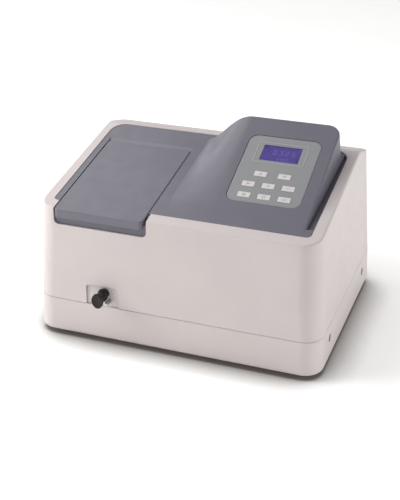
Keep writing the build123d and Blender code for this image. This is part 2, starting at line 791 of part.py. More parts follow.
# ---------------------------------------------------------------- sample compartment box
with BuildPart() as sample_box:
    box_centre = ((box_left_x + box_right_x) / 2, (box_front_y + box_rear_y) / 2)
    box_size = (box_right_x - box_left_x, box_rear_y - box_front_y)
    with BuildSketch(Plane.XY.offset(chassis_z + 2)):
        with Locations(box_centre):
            RectangleRounded(*box_size, 6)
    extrude(amount=200)
    with BuildSketch(Plane.XY.offset(box_floor_z)):
        with Locations(box_centre):
            RectangleRounded(
                box_size[0] - 2 * compartment_wall, box_size[1] - 2 * compartment_wall, 3
            )
    extrude(amount=220, mode=Mode.SUBTRACT)
    with BuildSketch(Plane.YZ.offset(-body_width)):
        above_top(deck_depth + 0.3)
    extrude(amount=2 * body_width, mode=Mode.SUBTRACT)
    # beam apertures, rod hole and rail seats
    with Locations(Plane(origin=(box_left_x, beam_y, beam_z), x_dir=(0, 1, 0), z_dir=(1, 0, 0))):
        Cylinder(6.0, 20, mode=Mode.SUBTRACT)
    with Locations(Plane(origin=(box_right_x, beam_y, beam_z), x_dir=(0, 1, 0), z_dir=(1, 0, 0))):
        Cylinder(9.0, 20, mode=Mode.SUBTRACT)
    with Locations(Plane(origin=(rod_x, box_front_y, rod_z), z_dir=(0, 1, 0))):
        Cylinder(rod_r + 0.4, 20, mode=Mode.SUBTRACT)
    with Locations(
        *[
            Plane(origin=(rod_x + side * rail_offset_x, box_centre[1], rail_z), z_dir=(0, 1, 0))
            for side in (-1, 1)
        ]
    ):
        Cylinder(rail_r, box_size[1] - compartment_wall, mode=Mode.SUBTRACT)
save(sample_box, "sample_box")

with BuildPart() as carriage_rails:
    with Locations(
        *[
            Plane(origin=(rod_x + side * rail_offset_x, box_centre[1], rail_z), z_dir=(0, 1, 0))
            for side in (-1, 1)
        ]
    ):
        Cylinder(rail_r, box_size[1] - compartment_wall)
save(carriage_rails, "carriage_rails")

cell_rows = [beam_y + step * cell_pitch for step in range(cell_count)]
with BuildPart() as cell_carriage:
    carriage_mid_y = carriage_front_y + carriage_length / 2
    with BuildSketch(Plane.XY.offset(carriage_bottom_z)):
        with Locations((rod_x, carriage_mid_y)):
            RectangleRounded(carriage_width, carriage_length, 2)
    extrude(amount=carriage_top_z - carriage_bottom_z)
    with BuildSketch(Plane.XY.offset(carriage_bottom_z)):
        with Locations((rod_x, carriage_mid_y)):
            RectangleRounded(2 * rail_offset_x + 14, carriage_length, 3)
    extrude(amount=11)
    for side in (-1, 1):
        with Locations(
            Plane(origin=(rod_x + side * rail_offset_x, carriage_mid_y, rail_z), z_dir=(0, 1, 0))
        ):
            Cylinder(rail_r + running_gap, carriage_length + 2, mode=Mode.SUBTRACT)
    with BuildSketch(Plane.XY.offset(carriage_bottom_z + 8)):
        for cell_y in cell_rows:
            with Locations((rod_x, cell_y)):
                Rectangle(cell_outer + 0.6, cell_outer + 0.6)
    extrude(amount=60, mode=Mode.SUBTRACT)
    with BuildSketch(Plane.YZ.offset(rod_x - carriage_width)):
        for cell_y in cell_rows:
            with Locations((cell_y, beam_z)):
                SlotOverall(26, 7, rotation=90)
    extrude(amount=2 * carriage_width, mode=Mode.SUBTRACT)
    with Locations(Plane(origin=(rod_x, carriage_front_y, rod_z), z_dir=(0, 1, 0))):
        Cylinder(rod_r, 6, mode=Mode.SUBTRACT)
save(cell_carriage, "cell_carriage")

with BuildPart() as cuvettes:
    with BuildSketch(Plane.XY.offset(carriage_bottom_z + 8)):
        for cell_y in cell_rows:
            with Locations((rod_x, cell_y)):
                RectangleRounded(cell_outer, cell_outer, 0.8)
    extrude(amount=cell_height)
    with BuildSketch(Plane.XY.offset(carriage_bottom_z + 9.5)):
        for cell_y in cell_rows:
            with Locations((rod_x, cell_y)):
                Rectangle(cell_outer - 2.5, cell_outer - 2.5)
    extrude(amount=cell_height, mode=Mode.SUBTRACT)
save(cuvettes, "cuvettes")

cell_top_z = carriage_bottom_z + 8 + cell_height
with BuildPart() as cuvette_caps:
    with BuildSketch(Plane.XY.offset(cell_top_z)):
        for cell_y in cell_rows:
            with Locations((rod_x, cell_y)):
                RectangleRounded(cell_outer, cell_outer, 1)
    extrude(amount=3)
    with BuildSketch(Plane.XY.offset(cell_top_z - 3)):
        for cell_y in cell_rows:
            with Locations((rod_x, cell_y)):
                Rectangle(cell_outer - 2.6, cell_outer - 2.6)
    extrude(amount=3)
save(cuvette_caps, "cuvette_caps")

# ---------------------------------------------------------------- detector and beam lens
detector_depth = 30.0
with BuildPart() as detector_housing:
    with Locations(Plane(origin=(box_left_x, beam_y, beam_z), x_dir=(0, 1, 0), z_dir=(-1, 0, 0))):
        Box(40, 40, detector_depth, align=outward)
        Cylinder(6.0, detector_depth, align=outward, mode=Mode.SUBTRACT)
    fillet(detector_housing.edges().filter_by(Axis.X).group_by(SortBy.LENGTH)[-1], 3.0)
    with Locations(
        Plane(origin=(box_left_x - 5, beam_y, beam_z), x_dir=(0, 1, 0), z_dir=(-1, 0, 0))
    ):
        Cylinder(15, detector_depth, align=outward, mode=Mode.SUBTRACT)
save(detector_housing, "detector_housing")

with BuildPart() as detector_board:
    with Locations(
        Plane(
            origin=(box_left_x - detector_depth, beam_y, beam_z), x_dir=(0, 1, 0), z_dir=(-1, 0, 0)
        )
    ):
        Box(38, 38, board_thickness, align=outward)
        Cylinder(4.6, 9, align=inward)
save(detector_board, "detector_board")

with BuildPart() as beam_lens:
    with Locations(Plane(origin=(box_right_x, beam_y, beam_z), x_dir=(0, 1, 0), z_dir=(-1, 0, 0))):
        Cylinder(9.0, 3.6, align=outward)
    fillet(beam_lens.edges().filter_by(GeomType.CIRCLE).sort_by(Axis.X)[0], 2.4)
save(beam_lens, "beam_lens")

# ---------------------------------------------------------------- feet, chassis and screws
with BuildPart() as rubber_feet:
    with BuildSketch(Plane.XY):
        with Locations((0, mid_y)):
            with GridLocations(
                body_width - 2 * foot_inset_x, body_depth - 2 * foot_inset_y, 2, 2
            ):
                Circle(foot_r)
    extrude(amount=shell_bottom_z)
    fillet(rubber_feet.edges().filter_by(GeomType.CIRCLE).group_by(Axis.Z)[0], 1.5)
save(rubber_feet, "rubber_feet")

standoffs = [(x, front_y + y) for x in (131, 199) for y in (50, 180)]
with BuildPart() as base_plate:
    with BuildSketch(Plane.XY.offset(chassis_z)):
        with Locations((0, mid_y)):
            RectangleRounded(404, 286, 12)
        with Locations(*boss_places):
            Circle(2.2, mode=Mode.SUBTRACT)
    extrude(amount=2)
    with BuildSketch(Plane.XY.offset(chassis_z + 1)):
        with Locations(*standoffs):
            Circle(3.5)
    extrude(amount=9)
save(base_plate, "base_plate")

with BuildPart() as casing_screws:
    for side in (-1, 1):
        for distance in side_screw_from_front:
            screw_y = front_y + distance
            with Locations(
                Plane(origin=(side * screw_seat_x, screw_y, side_screw_z), z_dir=(side, 0, 0))
            ):
                Cylinder(4.0, 2.6, align=outward)
                Cylinder(1.65, 12, align=inward)
            with Locations(
                Plane(origin=(side * (screw_seat_x + 1.4), screw_y, side_screw_z), z_dir=(side, 0, 0))
            ):
                Box(1.0, 5.0, 2, align=outward, mode=Mode.SUBTRACT)
                Box(5.0, 1.0, 2, align=outward, mode=Mode.SUBTRACT)
save(casing_screws, "casing_screws")

# ---------------------------------------------------------------- rear panel and what it carries
panel_back_n = -2.55
panel_thickness = 1.5
panel_face_n = panel_back_n + panel_thickness
inlet_place = (-124.0, 52.0)
switch_place = (-70.0, 52.0)
fuse_place = (-24.0, 52.0)
port_place = (24.0, 52.0)
fan_place = (96.0, rear_opening_q)
fan_size = 60.0
fan_depth = 15.0
fan_bore_r = 28.5
fan_screw_pitch = 50.0
slot_pitch = 6.0
panel_screws = [
    (across * (rear_opening_width / 2 - 7), rear_opening_q + up * (rear_opening_height / 2 - 7))
    for across in (-1, 1)
    for up in (-1, 1)
]
fan_screws = [
    (fan_place[0] + across * fan_screw_pitch / 2, fan_place[1] + up * fan_screw_pitch / 2)
    for across in (-1, 1)
    for up in (-1, 1)
]

with BuildPart() as rear_panel:
    with BuildSketch(rear_plane.offset(panel_back_n)):
        with Locations((0, rear_opening_q)):
            RectangleRounded(rear_opening_width - 0.6, rear_opening_height - 0.6, 7.7)
        with Locations(inlet_place):
            Rectangle(28.4, 21.4, mode=Mode.SUBTRACT)
        with Locations(switch_place):
            Rectangle(20.4, 27.4, mode=Mode.SUBTRACT)
        with Locations(fuse_place):
            Circle(6.3, mode=Mode.SUBTRACT)
        with Locations(port_place):
            Rectangle(19, 10.6, mode=Mode.SUBTRACT)
        for column in range(-4, 5):
            across = column * slot_pitch
            slot_length = 2 * (27.0**2 - across**2) ** 0.5
            with Locations((fan_place[0] + across, fan_place[1])):
                SlotOverall(slot_length, 3.0, rotation=90, mode=Mode.SUBTRACT)
        with Locations(*panel_screws, *fan_screws):
            Circle(1.7, mode=Mode.SUBTRACT)
    extrude(amount=panel_thickness)
save(rear_panel, "rear_panel")

with BuildPart() as rear_panel_screws:
    with BuildSketch(rear_plane.offset(panel_face_n)):
        with Locations(*panel_screws, *fan_screws):
            Circle(3.0)
            Rectangle(3.6, 0.8, mode=Mode.SUBTRACT)
            Rectangle(0.8, 3.6, mode=Mode.SUBTRACT)
    extrude(amount=1.4)
    with BuildSketch(rear_plane.offset(panel_back_n + 0.1)):
        with Locations(*panel_screws, *fan_screws):
            Circle(1.65)
    extrude(amount=panel_thickness - 0.1)
save(rear_panel_screws, "rear_panel_screws")

socket_depth = 14.5
with BuildPart() as mains_inlet:
    with BuildSketch(rear_plane.offset(panel_face_n)):
        with Locations(inlet_place):
            RectangleRounded(48, 27, 5)
    extrude(amount=2)
    with BuildSketch(rear_plane.offset(panel_face_n - 20)):
        with Locations(inlet_place):
            Rectangle(28, 21)
    extrude(amount=20)
    with BuildSketch(rear_plane.offset(panel_face_n + 2 - socket_depth)):
        with Locations(inlet_place):
            socket = Rectangle(24, 16.4)
        chamfer(socket.vertices().group_by(Axis.Y)[-1], 3.6)
    extrude(amount=socket_depth, mode=Mode.SUBTRACT)
    with BuildSketch(rear_plane.offset(panel_face_n + 1.5 - socket_depth)):
        with Locations(
            (inlet_place[0] - 7, inlet_place[1] - 1.5),
            (inlet_place[0], inlet_place[1] + 2.5),
            (inlet_place[0] + 7, inlet_place[1] - 1.5),
        ):
            Rectangle(2, 4)
    extrude(amount=socket_depth - 6.5)
save(mains_inlet, "mains_inlet")

rocker_pivot_n = -6.0
rocker_tilt = 10.0
rocker_half = 8.1
trunnion_r = 1.5
rocker_pivot = rear_plane.from_local_coords((*switch_place, rocker_pivot_n))
rocker_axis = Plane(origin=rocker_pivot, x_dir=rear_plane.y_dir, z_dir=rear_plane.x_dir)
with BuildPart() as switch_frame:
    with BuildSketch(rear_plane.offset(panel_face_n)):
        with Locations(switch_place):
            RectangleRounded(23, 30.4, 1.5)
    extrude(amount=2)
    with BuildSketch(rear_plane.offset(panel_face_n - 19)):
        with Locations(switch_place):
            Rectangle(20, 27)
    extrude(amount=19)
    with BuildSketch(rear_plane.offset(panel_face_n - 17)):
        with Locations(switch_place):
            Rectangle(17, 24.8)
    extrude(amount=20, mode=Mode.SUBTRACT)
    with Locations(rocker_axis):
        Cylinder(trunnion_r + running_gap, 30, mode=Mode.SUBTRACT)
save(switch_frame, "switch_frame")

with BuildPart() as power_rocker:
    with BuildSketch(rocker_axis.offset(-rocker_half)):
        Polygon(
            (-11.6, -1.0), (-11.0, 6.6), (0, 5.0), (11.0, 6.6), (11.6, -1.0), (5, -7), (-5, -7),
            rotation=-rocker_tilt,
            align=None,
        )
    extrude(amount=2 * rocker_half)
    with Locations(rocker_axis):
        Cylinder(trunnion_r, 2 * rocker_half + 3)
save(power_rocker, "power_rocker")

with BuildPart() as fuse_cap:
    with BuildSketch(rear_plane.offset(panel_face_n)):
        with Locations(fuse_place):
            Circle(8.0)
    extrude(amount=2.6)
    with BuildSketch(rear_plane.offset(panel_face_n - 26)):
        with Locations(fuse_place):
            Circle(6.1)
    extrude(amount=26)
    fillet(fuse_cap.edges().filter_by(GeomType.CIRCLE).sort_by(Axis.Y)[-1], 0.8)
    with BuildSketch(rear_plane.offset(panel_face_n + 1.4)):
        with Locations(fuse_place):
            Rectangle(11, 1.6)
    extrude(amount=2, mode=Mode.SUBTRACT)
save(fuse_cap, "fuse_cap")

with BuildPart() as data_port:
    with BuildSketch(rear_plane.offset(panel_face_n)):
        with Locations(port_place):
            RectangleRounded(31, 12.6, 2)
    extrude(amount=0.9)
    with BuildSketch(rear_plane.offset(panel_face_n - 9)):
        with Locations(port_place):
            shell = Trapezoid(17.6, 8.6, 80, rotation=180)
        fillet(shell.vertices(), 1.6)
    extrude(amount=11.6)
    with BuildSketch(rear_plane.offset(panel_face_n + 0.6)):
        with Locations((port_place[0], port_place[1] + 1.4)):
            with GridLocations(2.76, 1, 5, 1):
                Circle(0.55)
        with Locations((port_place[0], port_place[1] - 1.4)):
            with GridLocations(2.76, 1, 4, 1):
                Circle(0.55)
    extrude(amount=3, mode=Mode.SUBTRACT)
save(data_port, "data_port")

fan_face_n = panel_back_n - 0.2
with BuildPart() as fan_frame:
    with BuildSketch(rear_plane.offset(fan_face_n - fan_depth)):
        with Locations(fan_place):
            RectangleRounded(fan_size, fan_size, 4)
            Circle(fan_bore_r, mode=Mode.SUBTRACT)
    extrude(amount=fan_depth)
    with BuildSketch(rear_plane.offset(fan_face_n - fan_depth)):
        with Locations(fan_place):
            Circle(13)
            Rectangle(2 * fan_bore_r + 2, 3, rotation=35)
            Rectangle(2 * fan_bore_r + 2, 3, rotation=125)
    extrude(amount=2.4)
save(fan_frame, "fan_frame")

fan_centre = rear_plane.from_local_coords((*fan_place, fan_face_n - fan_depth + 8.6))
blade_count = 7
with BuildPart() as fan_rotor:
    fan_plane = Plane(origin=fan_centre, x_dir=rear_plane.x_dir, z_dir=rear_plane.z_dir)
    with Locations(fan_plane):
        Cylinder(12.0, 11.0)
        with PolarLocations(19.0, blade_count):
            Box(16.0, 1.3, 13.0, rotation=(48, 0, 0))
save(fan_rotor, "fan_rotor")

# ---------------------------------------------------------------- monochromator
mono_left_x = -48.0
mono_right_x = 110.0
mono_front_y = front_y + 50.0
mono_rear_y = front_y + 196.0
mono_top_z = 150.0
mono_wall = 4.0
mono_floor_z = 63.0
mono_centre = ((mono_left_x + mono_right_x) / 2, (mono_front_y + mono_rear_y) / 2)
mono_size = (mono_right_x - mono_left_x, mono_rear_y - mono_front_y)
entrance_x = -5.0
turntable_place = (45.0, front_y + 160.0)
turntable_bottom_z = 68.0
turntable_top_z = 76.0
arm_reach = 40.0
arm_half_width = 4.0
arm_gap = 0.5
spindle_r = 4.0
optic_size = 30.0
optic_thickness = 6.0
plunger_x = turntable_place[0] + arm_reach
plunger_z = (turntable_bottom_z + turntable_top_z) / 2
plunger_r = 2.5
collimator_place = (entrance_x, front_y + 66.0)
focus_place = (92.0, beam_y)


def toward(start, end):
    """Unit direction in plan from one place to another."""
    length = hypot(end[0] - start[0], end[1] - start[1])
    return ((end[0] - start[0]) / length, (end[1] - start[1]) / length)


def reflecting_plane(place, first, second):
    """Upright plane at place on beam height, facing midway between two directions."""
    return Plane(
        origin=(*place, beam_z), x_dir=(0, 0, 1), z_dir=(first[0] + second[0], first[1] + second[1], 0)
    )


collimator_plane = reflecting_plane(collimator_place, (0, 1), toward(collimator_place, turntable_place))
focus_plane = reflecting_plane(focus_place, (-1, 0), toward(focus_place, turntable_place))
grating_plane = reflecting_plane(
    turntable_place, toward(turntable_place, collimator_place), toward(turntable_place, focus_place)
)
mount_height = beam_z + optic_size / 2 + 2 - mono_floor_z

with BuildPart() as monochromator_base:
    with BuildSketch(Plane.XY.offset(chassis_z + 2)):
        with Locations(mono_centre):
            RectangleRounded(*mono_size, 5)
    extrude(amount=mono_top_z - chassis_z - 2)
    with BuildSketch(Plane.XY.offset(mono_floor_z)):
        with Locations(mono_centre):
            RectangleRounded(mono_size[0] - 2 * mono_wall, mono_size[1] - 2 * mono_wall, 2)
    extrude(amount=mono_top_z, mode=Mode.SUBTRACT)
    # upright backs for the two mirrors
    for optic_plane in (collimator_plane, focus_plane):
        with Locations(optic_plane.offset(-optic_thickness)):
            with Locations((mono_floor_z - beam_z - 0.5, 0, 0)):
                Box(mount_height, optic_size, 4, align=(Align.MIN, Align.CENTER, Align.MAX))
    # bearing boss for the turntable
    with BuildSketch(Plane.XY.offset(mono_floor_z - 0.5)):
        with Locations(turntable_place):
            Circle(10)
    extrude(amount=turntable_bottom_z - mono_floor_z)
    with BuildSketch(Plane.XY.offset(chassis_z + 3.5)):
        with Locations(turntable_place):
            Circle(spindle_r + running_gap)
    extrude(amount=12, mode=Mode.SUBTRACT)
    # entrance, exit and plunger holes
    with Locations(Plane(origin=(mono_left_x, beam_y, beam_z), z_dir=(1, 0, 0))):
        Cylinder(7, 12, mode=Mode.SUBTRACT)
    with Locations(Plane(origin=(entrance_x, mono_rear_y, beam_z), z_dir=(0, 1, 0))):
        Cylinder(7, 12, mode=Mode.SUBTRACT)
    with Locations(Plane(origin=(plunger_x, mono_rear_y, plunger_z), z_dir=(0, 1, 0))):
        Cylinder(plunger_r + 0.6, 12, mode=Mode.SUBTRACT)
save(monochromator_base, "monochromator_base")

with BuildPart() as monochromator_cover:
    with BuildSketch(Plane.XY.offset(mono_top_z)):
        with Locations(mono_centre):
            RectangleRounded(*mono_size, 5)
    extrude(amount=2)
    with BuildSketch(Plane.XY.offset(mono_top_z + 2)):
        with Locations(mono_centre):
            with GridLocations(mono_size[0] - 14, mono_size[1] - 14, 2, 2):
                Circle(3)
    extrude(amount=1.6)
save(monochromator_cover, "monochromator_cover")

slit_width = 1.0
slit_height = 8.0
with BuildPart() as slit_plates:
    for slit_plane in (
        Plane(origin=(mono_left_x + mono_wall, beam_y, beam_z), x_dir=(0, 1, 0), z_dir=(1, 0, 0)),
        Plane(origin=(entrance_x, mono_rear_y - mono_wall, beam_z), x_dir=(1, 0, 0), z_dir=(0, -1, 0)),
    ):
        with BuildSketch(slit_plane):
            Rectangle(22, 22)
            Rectangle(slit_width, slit_height, mode=Mode.SUBTRACT)
        extrude(amount=1)
save(slit_plates, "slit_plates")

for optic_plane, mirror_name in (
    (collimator_plane, "collimating_mirror"),
    (focus_plane, "focusing_mirror"),
):
    with BuildPart() as mirror_block:
        with BuildSketch(optic_plane.offset(-optic_thickness)):
            Rectangle(optic_size, optic_size)
        extrude(amount=optic_thickness)
        with Locations(optic_plane.offset(150)):
            Sphere(150.6, mode=Mode.SUBTRACT)
    save(mirror_block, mirror_name)

with BuildPart() as grating_turntable:
    with BuildSketch(Plane.XY.offset(turntable_bottom_z)):
        with Locations(turntable_place):
            Circle(17)
    extrude(amount=turntable_top_z - turntable_bottom_z)
    with Locations((*turntable_place, plunger_z)):
        Box(arm_reach + 6, 2 * arm_half_width, 6, align=(Align.MIN, Align.CENTER, Align.CENTER))
    with BuildSketch(Plane.XY.offset(chassis_z + 4)):
        with Locations(turntable_place):
            Circle(spindle_r)
    extrude(amount=turntable_bottom_z - chassis_z - 3.5)
    with Locations(grating_plane.offset(-optic_thickness)):
        with Locations((turntable_top_z - beam_z - 0.5, 0, 0)):
            Box(
                beam_z + optic_size / 2 + 2 - turntable_top_z,
                optic_size,
                4,
                align=(Align.MIN, Align.CENTER, Align.MAX),
            )
save(grating_turntable, "grating_turntable")

with BuildPart() as grating:
    with BuildSketch(grating_plane.offset(-optic_thickness)):
        Rectangle(optic_size, optic_size - 2)
    extrude(amount=optic_thickness)
save(grating, "grating")

drive_motor_size = 28.0
drive_motor_depth = 26.0
plunger_rear_y = mono_rear_y + 15.0
with BuildPart() as drive_motor:
    with Locations(Plane(origin=(plunger_x, mono_rear_y, plunger_z), x_dir=(1, 0, 0), z_dir=(0, 1, 0))):
        Box(drive_motor_size, drive_motor_size, drive_motor_depth, align=outward)
    fillet(drive_motor.edges().filter_by(Axis.Y), 4)
    with Locations(Plane(origin=(plunger_x, mono_rear_y, plunger_z), x_dir=(1, 0, 0), z_dir=(0, 1, 0))):
        Cylinder(plunger_r + running_gap, drive_motor_depth - 1.5, align=outward, mode=Mode.SUBTRACT)
save(drive_motor, "drive_motor")

with BuildPart() as drive_plunger:
    tip_y = turntable_place[1] + arm_half_width + arm_gap
    with BuildSketch(Plane.XZ.offset(-tip_y)):
        with Locations((plunger_x, plunger_z)):
            Circle(plunger_r)
    extrude(amount=-(plunger_rear_y - tip_y))
    fillet(drive_plunger.edges().filter_by(GeomType.CIRCLE).sort_by(Axis.Y)[0], 1.8)
save(drive_plunger, "drive_plunger")

# ---------------------------------------------------------------- filter wheel and lamp
wheel_r = 26.0
filter_ring_r = 18.0
filter_r = 5.5
filter_count = 6
wheel_thickness = 3.0
wheel_y = front_y + 210.0
wheel_shaft_r = 1.5
wheel_centre_z = beam_z - filter_ring_r
lamp_front_y = front_y + 232.0
lamp_rear_y = front_y + 290.0
lamp_half_width = 36.0
lamp_top_z = 142.0
wheel_plane = Plane(origin=(entrance_x, wheel_y, wheel_centre_z), x_dir=(0, 0, 1), z_dir=(0, 1, 0))
motor_front_y = wheel_y + wheel_thickness + 4

with BuildPart() as filter_wheel:
    with BuildSketch(wheel_plane):
        Circle(wheel_r)
        with PolarLocations(filter_ring_r, filter_count):
            Circle(filter_r, mode=Mode.SUBTRACT)
    extrude(amount=wheel_thickness)
    with BuildSketch(wheel_plane):
        Circle(4.5)
    extrude(amount=wheel_thickness + 3)
    with BuildSketch(wheel_plane):
        Circle(wheel_shaft_r)
    extrude(amount=motor_front_y - wheel_y + 8)
save(filter_wheel, "filter_wheel")

with BuildPart() as filter_glass:
    with BuildSketch(wheel_plane.offset(0.5)):
        with PolarLocations(filter_ring_r, filter_count):
            Circle(filter_r)
    extrude(amount=wheel_thickness - 1)
save(filter_glass, "filter_glass")

with BuildPart() as filter_motor:
    with BuildSketch(Plane.XZ.offset(-motor_front_y)):
        with Locations((entrance_x, wheel_centre_z)):
            Circle(9.5)
            Rectangle(28, 7)
    extrude(amount=-(lamp_front_y - motor_front_y))
    with Locations(Plane(origin=(entrance_x, motor_front_y, wheel_centre_z), z_dir=(0, 1, 0))):
        Cylinder(wheel_shaft_r + running_gap, 9, align=outward, mode=Mode.SUBTRACT)
save(filter_motor, "filter_motor")

lamp_centre_y = (lamp_front_y + lamp_rear_y) / 2
lamp_depth = lamp_rear_y - lamp_front_y
lamp_wall = 3.0
with BuildPart() as lamp_house:
    with BuildSketch(Plane.XY.offset(chassis_z + 2)):
        with Locations((entrance_x, lamp_centre_y)):
            RectangleRounded(2 * lamp_half_width, lamp_depth, 4)
    extrude(amount=lamp_top_z - chassis_z - 2)
    with BuildSketch(Plane.XY.offset(chassis_z + 2 + lamp_wall)):
        with Locations((entrance_x, lamp_centre_y)):
            Rectangle(2 * (lamp_half_width - lamp_wall), lamp_depth - 2 * lamp_wall)
    extrude(amount=lamp_top_z, mode=Mode.SUBTRACT)
    with Locations(Plane(origin=(entrance_x, lamp_front_y, beam_z), z_dir=(0, 1, 0))):
        Cylinder(7, 12, mode=Mode.SUBTRACT)
    # cooling slots in both side walls
    with BuildSketch(Plane.YZ.offset(entrance_x - 2 * lamp_half_width)):
        with Locations((lamp_centre_y, beam_z + 4)):
            with GridLocations(8, 1, 5, 1):
                SlotOverall(44, 3.4, rotation=90)
    extrude(amount=4 * lamp_half_width, mode=Mode.SUBTRACT)
save(lamp_house, "lamp_house")

socket_top_z = 82.0
with BuildPart() as lamp_socket:
    with BuildSketch(Plane.XY.offset(chassis_z + 2 + lamp_wall)):
        with Locations((entrance_x, lamp_centre_y)):
            RectangleRounded(26, 16, 2)
    extrude(amount=socket_top_z - chassis_z - 2 - lamp_wall)
save(lamp_socket, "lamp_socket")

with BuildPart() as halogen_lamp:
    with BuildSketch(Plane.XY.offset(socket_top_z)):
        with Locations((entrance_x, lamp_centre_y)):
            Rectangle(10, 4)
    extrude(amount=12)
    with BuildSketch(Plane.XY.offset(socket_top_z + 10)):
        with Locations((entrance_x, lamp_centre_y)):
            Circle(6)
    extrude(amount=26)
    fillet(halogen_lamp.edges().filter_by(GeomType.CIRCLE).sort_by(Axis.Z)[-1], 5)
save(halogen_lamp, "halogen_lamp")

# ---------------------------------------------------------------- electronics
board_x = (standoffs[0][0] + standoffs[-1][0]) / 2
board_y = (standoffs[0][1] + standoffs[-1][1]) / 2
board_z = chassis_z + 10
parts_on_board = [
    # x, y from the board's centre, width, depth, height
    (-22, 46, 26, 26, 3),
    (18, 46, 18, 30, 3),
    (-24, 8, 22, 12, 5),
    (24, 6, 12, 12, 14),
    (-26, -44, 34, 9, 10),
    (24, -44, 26, 20, 24),
]
with BuildPart() as main_board:
    with BuildSketch(Plane.XY.offset(board_z)):
        with Locations((board_x, board_y)):
            Rectangle(88, 150)
    extrude(amount=board_thickness)
    for along_x, along_y, width, depth, height in parts_on_board:
        with Locations((board_x + along_x, board_y + along_y, board_z + board_thickness)):
            Box(width, depth, height, align=outward)
save(main_board, "main_board")

supply_left_x = 60.0
supply_right_x = 200.0
supply_front_y = front_y + 230.0
supply_rear_y = front_y + 310.0
supply_top_z = 102.0
with BuildPart() as power_supply:
    with BuildSketch(Plane.XY.offset(chassis_z + 2)):
        with Locations(((supply_left_x + supply_right_x) / 2, (supply_front_y + supply_rear_y) / 2)):
            RectangleRounded(supply_right_x - supply_left_x, supply_rear_y - supply_front_y, 2)
    extrude(amount=supply_top_z - chassis_z - 2)
    with BuildSketch(Plane.XY.offset(supply_top_z - 1)):
        with Locations(((supply_left_x + supply_right_x) / 2, (supply_front_y + supply_rear_y) / 2)):
            with GridLocations(10, 30, 11, 2):
                SlotOverall(24, 3, rotation=90)
    extrude(amount=2, mode=Mode.SUBTRACT)
save(power_supply, "power_supply")
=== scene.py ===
import json
from math import atan, cos, radians, sin

import bmesh
import bpy
from mathutils import Matrix, Vector


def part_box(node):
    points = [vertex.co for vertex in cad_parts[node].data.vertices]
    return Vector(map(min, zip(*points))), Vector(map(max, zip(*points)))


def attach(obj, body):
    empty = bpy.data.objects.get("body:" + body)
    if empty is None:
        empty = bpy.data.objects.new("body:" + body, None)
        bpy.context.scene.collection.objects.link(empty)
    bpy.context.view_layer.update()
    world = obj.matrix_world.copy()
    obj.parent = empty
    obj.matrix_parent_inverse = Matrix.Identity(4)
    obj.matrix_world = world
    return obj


# Spectrophotometer: materials, printed marks, floor, lights and camera round the CAD pieces
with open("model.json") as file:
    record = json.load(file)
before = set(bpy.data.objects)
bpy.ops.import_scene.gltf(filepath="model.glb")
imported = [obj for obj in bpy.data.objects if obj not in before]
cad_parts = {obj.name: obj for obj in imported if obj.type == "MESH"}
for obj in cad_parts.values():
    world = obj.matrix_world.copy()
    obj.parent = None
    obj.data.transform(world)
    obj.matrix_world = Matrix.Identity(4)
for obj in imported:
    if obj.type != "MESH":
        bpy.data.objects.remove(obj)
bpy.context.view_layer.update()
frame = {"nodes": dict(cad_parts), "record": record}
nodes = frame["nodes"]

# ---------------------------------------------------------------- camera: metres, radians, lens in mm
aim = Vector((-0.0144, 0.0064, 0.0998))
camera_distance = 1.7009
camera_azimuth = radians(20.587)
camera_elevation = radians(27.404)
camera_roll = radians(-0.608)
camera_lens = 74.85

# ---------------------------------------------------------------- floor
floor_size = 14.0
floor_tones = ((0.93, 0.93, 0.925), (0.95, 0.95, 0.945))
# painted shadow: the colour the floor is darkened to near and under the object
floor_painted_shadow = (0.13, 0.115, 0.105)  # where the object covers the floor
floor_painted_shadow_reach = 0.085
floor_glow = 0.36                   # keeps the open floor near white

# ---------------------------------------------------------------- console face, in metres
face_slope = 0.40                   # rise for each metre back
display_width = 0.0612
display_height = 0.0344
frame_outside = (0.020, 0.011)      # how much wider and taller than the display its frame line is
frame_inside = (0.017, 0.008)
figure_lift = 0.001                 # from the middle of the display's glass to its figures
figure_thickness = 0.00008
print_thickness = 0.00006
print_lift = 0.00001                # keeps print off the surface below it
corner_steps = 4                    # facets in each rounded corner of the frame line

face_angle = atan(face_slope)
face_across = Vector((1, 0, 0))
face_up = Vector((0, cos(face_angle), sin(face_angle)))
face_normal = Vector((0, -sin(face_angle), cos(face_angle)))


def box_centre(node):
    """Centre of a CAD node's box at rest."""
    low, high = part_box(node)
    return (low + high) / 2


# ---------------------------------------------------------------- material helpers
worn_edge = 1.25                    # how much lighter a plastic's worn edge is
# painted shade: how much darker crevices are drawn
painted_crease_shade = 0.72                 # how much darker its crevices are
worn_coating = 1.5                  # how much lighter a coated metal's worn edge is
edge_samples = 6
crease_samples = 8
floor_samples = 16
display_dot = 0.0006


def add(tree, kind, inputs=None, **settings):
    """Add a shader node; each input takes a value, or a link when given a socket."""
    node = tree.nodes.new("ShaderNode" + kind)
    for key, value in settings.items():
        setattr(node, key, value)
    for key, value in (inputs or {}).items():
        if isinstance(value, bpy.types.NodeSocket):
            tree.links.new(value, node.inputs[key])
        else:
            node.inputs[key].default_value = value
    return node


def new_material(name):
    """An empty node material with its Principled shader."""
    material = bpy.data.materials.new(name)
    material.use_nodes = True
    return material, material.node_tree, material.node_tree.nodes["Principled BSDF"]


def object_space(tree, stretch=(1, 1, 1)):
    """The piece's own coordinates in metres, stretched for brushed looks."""
    coordinates = add(tree, "TexCoord").outputs["Object"]
    return add(tree, "Mapping", {"Vector": coordinates, "Scale": stretch}).outputs["Vector"]


def noise(tree, where, size, detail=2.0, roughness=0.5):
    """Soft noise whose features are about size metres across."""
    node = add(
        tree, "TexNoise", {"Vector": where, "Scale": 1 / size, "Detail": detail, "Roughness": roughness}
    )
    return node.outputs["Fac"]


def spread(tree, value, low, high, start=0.3, end=0.7):
    """Map a noise value from start..end to low..high."""
    node = add(
        tree, "MapRange",
        {"Value": value, "From Min": start, "From Max": end, "To Min": low, "To Max": high},
    )
    return node.outputs["Result"]


